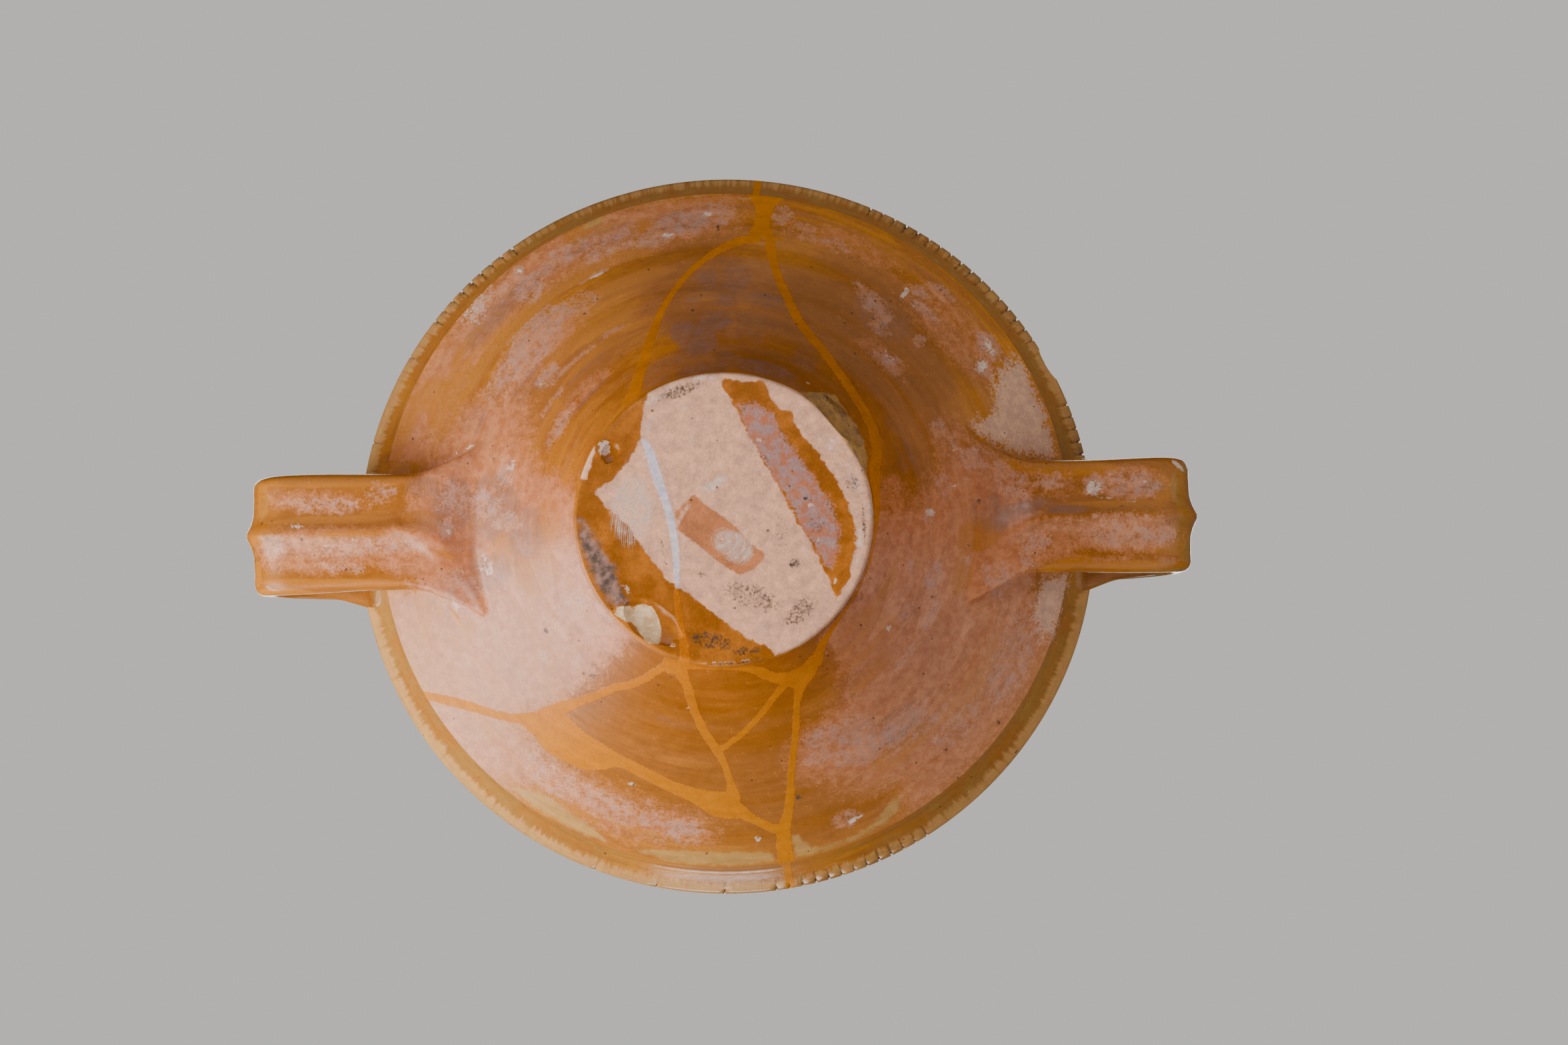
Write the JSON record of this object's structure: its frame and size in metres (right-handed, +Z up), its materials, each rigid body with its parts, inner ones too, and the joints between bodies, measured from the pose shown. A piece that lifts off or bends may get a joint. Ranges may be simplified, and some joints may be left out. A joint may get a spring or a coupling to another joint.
{
  "type": "two-handled glazed earthenware bowl",
  "caption": "Thrown bowl with flat foot, conical wall, hollow collar, notched lip and broad strap handles, amber lead glaze with flush restorer's fills.",
  "frame": {"origin": "centre of the foot's flat underside", "axes": "+Z up through the mouth, X along the line of the handles, Y across them"},
  "size_m": [0.3344, 0.2574, 0.096],
  "materials": {
    "glazed_earthenware": "glossy amber lead glaze, worn matt in patches, bare clay underfoot"
  },
  "bodies": {
    "root": {"bowl": "glazed_earthenware"}
  },
  "joints": []
}
